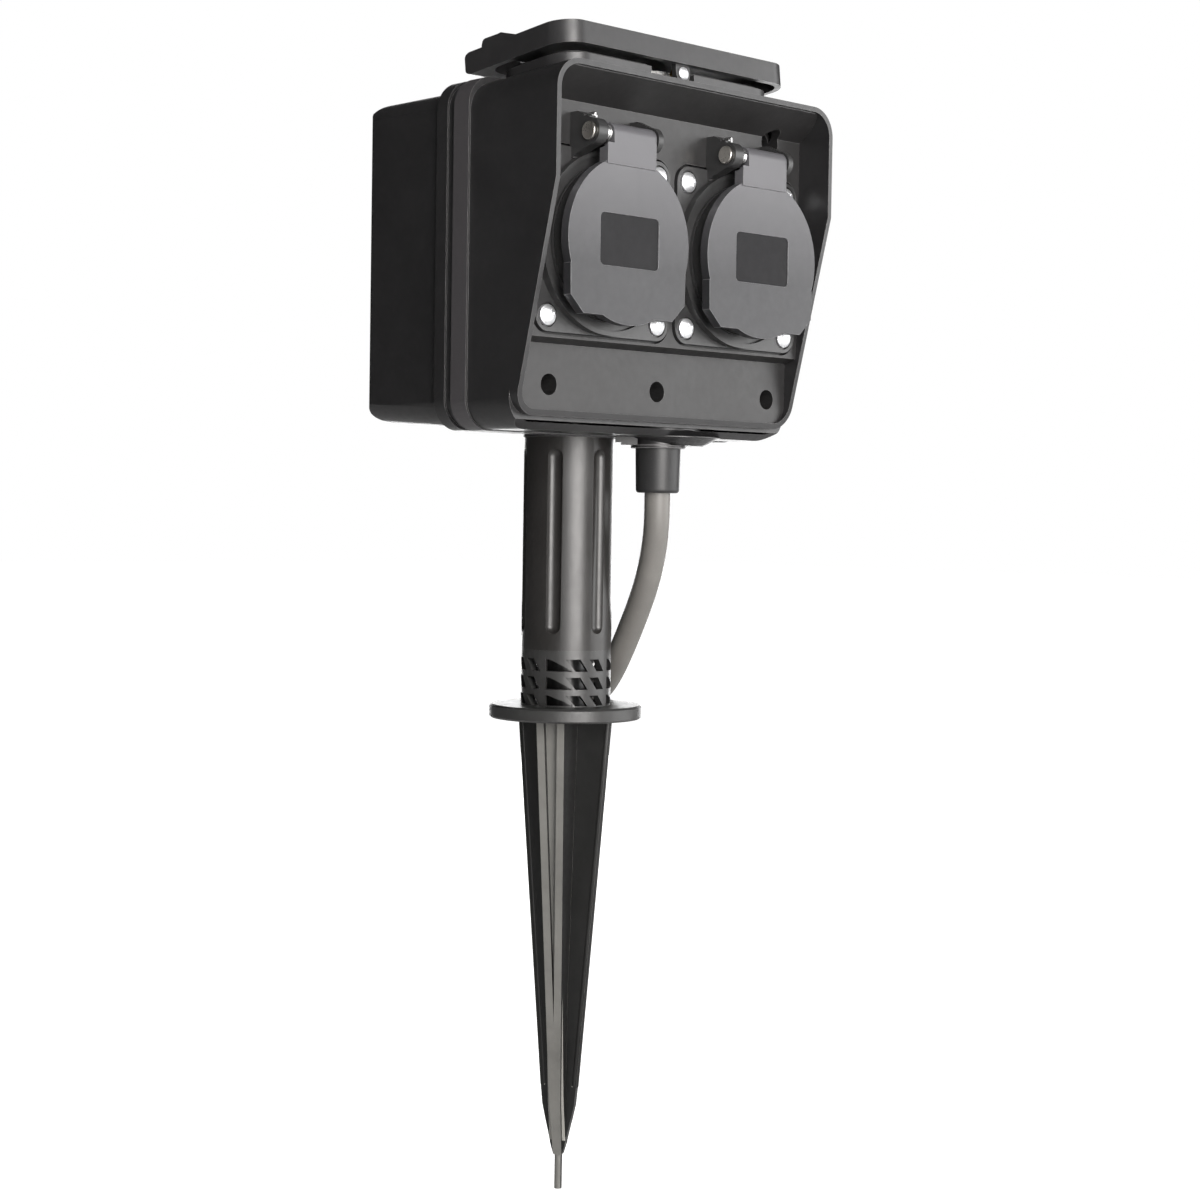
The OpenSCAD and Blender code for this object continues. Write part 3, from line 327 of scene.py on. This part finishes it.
def rubber(name, base, rough=0.55, grain=2200.0, var=0.15, bump_s=0.3, dust=0.06):
    """Soft rubber: matt skin with fine talc in the pores."""
    m, t, s = mat_new(name)
    co = t.nodes.new("ShaderNodeTexCoord").outputs["Object"]
    big = noise(t, co, 45, 4, 0.65)
    fine = noise(t, co, grain, 3, 0.6)
    col = ramp(t, big, [(0.3, tuple(c * (1 - var) for c in base)), (0.72, tuple(min(1, c * (1 + var)) for c in base))])
    talc = ramp(t, fine, [(0.58, (0, 0, 0)), (0.75, (1, 1, 1))])
    col = mix_col(t, math_node(t, "MULTIPLY", talc, dust), col, (0.5, 0.49, 0.47))
    t.links.new(col, s.inputs["Base Color"])
    r = math_node(t, "MULTIPLY_ADD", big, 0.2, rough - 0.1, clamp=True)
    t.links.new(r, s.inputs["Roughness"])
    s.inputs["Specular IOR Level"].default_value = 0.4
    t.links.new(bump(t, fine, bump_s, 0.00006), s.inputs["Normal"])
    return m


# band of the front shell painted lighter and a little rougher: painted light where the tilted band catches the lamps
SEAM_BAND_PAINTED_LIGHT = ((None, -19.6, None), (None, -12.6, None), (0.054, 0.051, 0.054), 0.04)
M = {
    "case": plastic("case_plastic", (0.0152, 0.0149, 0.0156), 0.40, 2400, 0.30, 0.10, 0.35, zones=[SEAM_BAND_PAINTED_LIGHT]),
    "wall": plastic("wall_plastic", (0.0160, 0.0156, 0.0158), 0.45, 2400, 0.28, 0.12, 0.35, spec=0.42),
    "lid": plastic("lid_plastic", (0.0235, 0.0232, 0.0240), 0.40, 2400, 0.28, 0.10, 0.35),
    "post": plastic("post_plastic", (0.0165, 0.0155, 0.0148), 0.38, 2000, 0.30, 0.12, 0.35, streak=(400, 400, 9)),
    # spike: base set dark as painted shade on the side fins; the web and rib copies are lighter as painted highlight on
    # the front faces
    "spike": plastic("spike_plastic_painted_shade", (0.0062, 0.0062, 0.0060), 0.38, 1800, 0.30, 0.14, 0.45, spec=0.42, streak=(300, 300, 14)),
    "web": plastic("spike_web_painted_highlight", (0.125, 0.123, 0.115), 0.36, 1800, 0.30, 0.22, 0.45, streak=(300, 300, 14)),
    "rib": plastic("spike_rib_painted_highlight", (0.27, 0.265, 0.245), 0.36, 1800, 0.30, 0.20, 0.45, streak=(300, 300, 14)),
    "collar": plastic("collar_plastic", (0.027, 0.027, 0.0267), 0.40, 2400, 0.28, 0.12, 0.4),
    "frame": plastic("frame_plastic", (0.025, 0.025, 0.0254), 0.40, 3000, 0.15, 0.10, 0.35),
    "flap": plastic("flap_plastic", (0.022, 0.022, 0.024), 0.45, 2800, 0.25, 0.14, 0.35, spec=0.43, painted_top_sheen=(0.140, 0.172, (0.082, 0.081, 0.087))),
    "pad": plastic("pad_film", (0.007, 0.0068, 0.0078), 0.62, 900, 0.35, 0.10, 0.10, spec=0.21),
    "insert": plastic("insert_plastic", (0.02, 0.02, 0.021), 0.35, 3000, 0.12, 0.10, 0.2),
    "panel": plastic("panel_plastic", (0.03, 0.03, 0.031), 0.36, 3000, 0.15, 0.10, 0.2),
    "knob": plastic("knob_plastic", (0.62, 0.62, 0.61), 0.32, 3200, 0.1, 0.05, 0.1, wear_col=(0.8, 0.8, 0.78)),
    "lens": plastic("lens_plastic", (0.12, 0.55, 0.16), 0.18, 3200, 0.05, 0.05, 0.1, wear_col=(0.5, 0.9, 0.5), coat=0.5),
    "terminal": plastic("terminal_plastic", (0.72, 0.71, 0.66), 0.4, 2600, 0.1, 0.05, 0.1, wear_col=(0.85, 0.85, 0.8)),
    "tie": plastic("tie_plastic", (0.016, 0.016, 0.016), 0.35, 3000, 0.1, 0.1, 0.2),
    "relay": plastic("relay_plastic", (0.05, 0.12, 0.38), 0.35, 3000, 0.1, 0.08, 0.2),
    "board": plastic("board_lacquer", (0.02, 0.16, 0.05), 0.25, 900, 0.2, 0.2, 0.1, coat=0.4),
    "brown": rubber("wire_brown", (0.2, 0.09, 0.035)),
    "blue": rubber("wire_blue", (0.03, 0.12, 0.5)),
    "green": rubber("wire_green", (0.26, 0.45, 0.05)),
    "seal": rubber("seal_rubber", (0.012, 0.012, 0.012), 0.6),
    "flap_seal": rubber("flap_rubber", (0.02, 0.02, 0.02), 0.55),
    "sleeve": rubber("sleeve_rubber", (0.017, 0.017, 0.0175), 0.44, 1800, 0.12, 0.3, 0.03),
    "cord": rubber("cord_rubber", (0.132, 0.127, 0.119), 0.42, 1500, 0.12, 0.35, 0.05),
    "plug": rubber("plug_rubber", (0.024, 0.024, 0.024), 0.45, 1800, 0.12, 0.25, 0.03),
    "zinc": metal("zinc_screws", (0.95, 0.96, 0.98), 0.54, (1400, 1400, 1400), (0.92, 0.92, 0.96)),
    "pin": metal("pin_steel", (0.74, 0.71, 0.66), 0.30, (200, 2600, 2600), (0.80, 0.77, 0.72)),
    "spring": metal("spring_steel", (0.62, 0.62, 0.62), 0.28, (800, 800, 800)),
    "nickel": metal("nickel_plate", (0.74, 0.72, 0.68), 0.2, (900, 900, 900)),
    "brass": metal("contact_brass", (0.78, 0.58, 0.25), 0.3, (900, 900, 900)),
}
# lighter copies of each plastic for the bevel strips: painted highlight along the rounded edges
EDGE_HIGHLIGHT_OF = {}
for key_, base_ in (("case", (0.105, 0.103, 0.103)), ("wall", (0.052, 0.051, 0.052)), ("lid", (0.088, 0.086, 0.088)),
                    ("post", (0.060, 0.059, 0.057)), ("spike", (0.10, 0.10, 0.094)), ("collar", (0.056, 0.056, 0.055)),
                    ("frame", (0.040, 0.040, 0.041)), ("flap", (0.085, 0.085, 0.089))):
    EDGE_HIGHLIGHT_OF[key_] = plastic(key_ + "_edge_highlight", base_, 0.36, 2400, 0.2, 0.12, 0.5, edge=True)
LOOK = {
    "front_shell": "case", "socket_wall": "wall", "lid_frame": "lid", "rear_shell": "case", "housing_seal": "seal",
    "housing_screws": "zinc",
    "left_frame": "frame", "right_frame": "frame", "left_gasket": "seal", "right_gasket": "seal", "flange_screws": "zinc",
    "left_insert": "insert", "right_insert": "insert", "left_earth_clips": "nickel", "right_earth_clips": "nickel",
    "left_contacts": "brass", "right_contacts": "brass", "contact_screws": "zinc",
    "left_flap": "flap", "right_flap": "flap", "left_flap_seal": "flap_seal", "right_flap_seal": "flap_seal",
    "left_hinge_pin": "pin", "right_hinge_pin": "pin", "left_spring": "spring", "right_spring": "spring",
    "top_lid": "lid", "lid_hinge_pin": "pin", "lid_seal": "seal", "lid_screw": "zinc", "lid_screw_nut": "brass",
    "control_panel": "panel", "control_knob": "knob", "status_lens": "lens",
    "control_board": "board", "relay": "relay", "terminal_block": "terminal", "terminal_screws": "zinc",
    "wire_live": "brown", "wire_neutral": "blue", "wire_earth": "green",
    "gland_body": "case", "gland_nut": "case", "gland_sleeve": "sleeve", "cable_hook": "tie", "cable_clamp": "panel",
    "clamp_screws": "zinc", "cable_inner": "cord",
    "post_tube": "post", "post_nut": "case", "ground_collar": "collar", "spike": "spike",
    "cord_ties": "tie", "plug_boot": "plug", "plug_body": "plug", "plug_pins": "nickel", "plug_earth_strips": "nickel",
}


def paint(o, m):
    if not len(o.material_slots):
        o.data.materials.append(m)
    for k in o.material_slots:
        k.material = m


for n, key in LOOK.items():
    paint(NODES[n], M[key])
lead.data.materials.append(M["cord"])

# ---------------------------------------------------------------- moulded pieces with soft edges
BODY = {"left_flap": "left_flap_body", "right_flap": "right_flap_body", "top_lid": "lid_body", "lid_screw": "lid_body",
        "control_knob": "dial_body"}
EDGES = {"front_shell": 0.45, "socket_wall": 0.35, "lid_frame": 0.35, "rear_shell": 0.5, "left_frame": 0.3, "right_frame": 0.3,
         "left_flap": 0.45, "right_flap": 0.45, "top_lid": 0.7, "post_tube": 0.35, "ground_collar": 0.25, "spike": 0.35,
         "gland_body": 0.25, "cable_hook": 0.25, "plug_body": 0.3, "control_panel": 0.3, "control_knob": 0.2,
         "flange_screws": 0.12, "left_hinge_pin": 0.25, "right_hinge_pin": 0.25, "lid_screw": 0.12, "housing_screws": 0.12,
         "cord_ties": 0.25, "plug_pins": 0.2, "terminal_block": 0.3, "relay": 0.3, "left_insert": 0.3, "right_insert": 0.3}


def refine(name, width, segments=2):
    """A new piece of the node's own shape with whole flat faces and rounded edges."""
    src = NODES[name]
    bm = bmesh.new()
    bm.from_mesh(src.data)
    bmesh.ops.remove_doubles(bm, verts=bm.verts, dist=0.000002)
    bmesh.ops.dissolve_degenerate(bm, dist=0.000002, edges=bm.edges)
    bmesh.ops.dissolve_limit(bm, angle_limit=math.radians(0.35), use_dissolve_boundaries=False, verts=bm.verts, edges=bm.edges)
    sharp = [e for e in bm.edges if e.is_manifold and e.calc_face_angle(0.0) > math.radians(28)]
    before = len(bm.faces)
    key = LOOK[name]
    strips = []
    if sharp:
        made = bmesh.ops.bevel(bm, geom=sharp, offset=width * MM, offset_type="OFFSET", segments=segments, profile=0.5,
                        affect="EDGES", clamp_overlap=True, miter_outer="ARC" if segments > 1 else "SHARP")
        strips = made["faces"]
    for f in bm.faces:
        f.smooth = True
        f.material_index = 0
    # bevel strips take the lighter copy: painted highlight on the edges
    if key in EDGE_HIGHLIGHT_OF:
        for f in strips:
            if f.is_valid:
                f.material_index = 1
    if key == "flap":
        # smooth field on the front of the flap
        for f in bm.faces:
            c = f.calc_center_median()
            if f.normal.y < -0.9 and abs(c.y + 0.0565) < 0.00005 and abs(c.z - 0.147) < 0.0078:
                f.material_index = 2
    if key == "spike":
        # front faces of the cross walls and of the web between them get lighter copies: painted highlight
        ca, sa = math.cos(math.radians(61)), math.sin(math.radians(61))
        for f in bm.faces:
            c = f.calc_center_median()
            across, out_ = c.x * ca - c.y * sa, f.normal.x * sa + f.normal.y * ca
            if abs(out_) > 0.6 and c.z < -0.001 and abs(across) < 0.0049 and f.material_index == 0:
                f.material_index = 3 if abs(across) > 0.0018 else 2
    me = bpy.data.meshes.new(name + "_shape")
    bm.to_mesh(me)
    bm.free()
    o = bpy.data.objects.new(name + "_shape", me)
    bpy.context.scene.collection.objects.link(o)
    o.matrix_world = src.matrix_world.copy()
    wn = o.modifiers.new("even_normals", "WEIGHTED_NORMAL")
    wn.weight = 80
    wn.keep_sharp = False
    me.materials.append(M[key])
    if key in EDGE_HIGHLIGHT_OF:
        me.materials.append(EDGE_HIGHLIGHT_OF[key])
    if key == "flap":
        me.materials.append(M["pad"])
    if key == "spike":
        me.materials.append(M["web"])
        me.materials.append(M["rib"])
    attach(o, BODY.get(name, "housing"))
    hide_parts(name)
    print("refined", name, len(sharp), "edges", before, "->", len(me.polygons))
    return o


for n, w in EDGES.items():
    refine(n, w)

# ---------------------------------------------------------------- stage and light
FLOOR_Z = -0.1565
me = bpy.data.meshes.new("floor")
bm = bmesh.new()
bmesh.ops.create_grid(bm, x_segments=1, y_segments=1, size=8.0)
bm.to_mesh(me)
bm.free()
floor = bpy.data.objects.new("floor", me)
floor.location = (0, 0, FLOOR_Z)
bpy.context.scene.collection.objects.link(floor)
m, t, s = mat_new("floor_paper")
co = t.nodes.new("ShaderNodeTexCoord").outputs["Object"]
t.links.new(ramp(t, noise(t, co, 6, 3), [(0.3, (0.55, 0.55, 0.55)), (0.7, (0.58, 0.58, 0.58))]), s.inputs["Base Color"])
s.inputs["Roughness"].default_value = 0.9
s.inputs["Specular IOR Level"].default_value = 0.1
s.inputs["Emission Color"].default_value = (1, 1, 1, 1)
seen = t.nodes.new("ShaderNodeLightPath").outputs["Is Camera Ray"]
t.links.new(math_node(t, "MULTIPLY", seen, 0.95), s.inputs["Emission Strength"])
floor.data.materials.append(m)


def softbox(name, pos, target, size, power, colour=(1, 1, 1)):
    l = bpy.data.lights.new(name, "AREA")
    l.shape = "RECTANGLE"
    l.size, l.size_y = size
    l.energy = power
    l.color = colour
    o = bpy.data.objects.new(name, l)
    o.location = pos
    d = Vector(target) - Vector(pos)
    o.rotation_mode = "QUATERNION"
    o.rotation_quaternion = d.to_track_quat("-Z", "Y")
    bpy.context.scene.collection.objects.link(o)
    return o


softbox("key_right", (1.10, -0.98, 0.22), (0, 0, 0.08), (1.3, 1.1), 19)
softbox("strip_front", (-0.46, -1.30, 0.16), (0, 0, 0.06), (0.74, 1.3), 46, (1.0, 0.975, 0.955))
softbox("strip_left", (-0.96, -0.98, 0.16), (0, 0, 0.06), (0.18, 1.2), 4)
softbox("back_low", (1.0, 0.95, 0.02), (0, 0, 0.09), (1.4, 0.5), 14)
softbox("rim_back", (0.9, 0.9, 0.6), (0, 0, 0.1), (0.6, 0.8), 3)
sun = bpy.data.lights.new("overhead", "SUN")
sun.energy = 0.5
sun.angle = math.radians(50)
so = bpy.data.objects.new("overhead", sun)
so.location = (0, 0, 2)
bpy.context.scene.collection.objects.link(so)

world = bpy.data.worlds.new("studio")
bpy.context.scene.world = world
world.use_nodes = True
t = world.node_tree
t.nodes.clear()
out = t.nodes.new("ShaderNodeOutputWorld")
mixs = t.nodes.new("ShaderNodeMixShader")
dim = t.nodes.new("ShaderNodeBackground")
dim.inputs[0].default_value = (1, 1, 1, 1)
dim.inputs[1].default_value = 0.03
lit = t.nodes.new("ShaderNodeBackground")
lit.inputs[0].default_value = (1, 1, 1, 1)
lit.inputs[1].default_value = 1.0
lp = t.nodes.new("ShaderNodeLightPath")
t.links.new(lp.outputs["Is Camera Ray"], mixs.inputs[0])
t.links.new(dim.outputs[0], mixs.inputs[1])
t.links.new(lit.outputs[0], mixs.inputs[2])
t.links.new(mixs.outputs[0], out.inputs[0])
bpy.context.scene.view_settings.view_transform = "Standard"

bpy.context.view_layer.update()
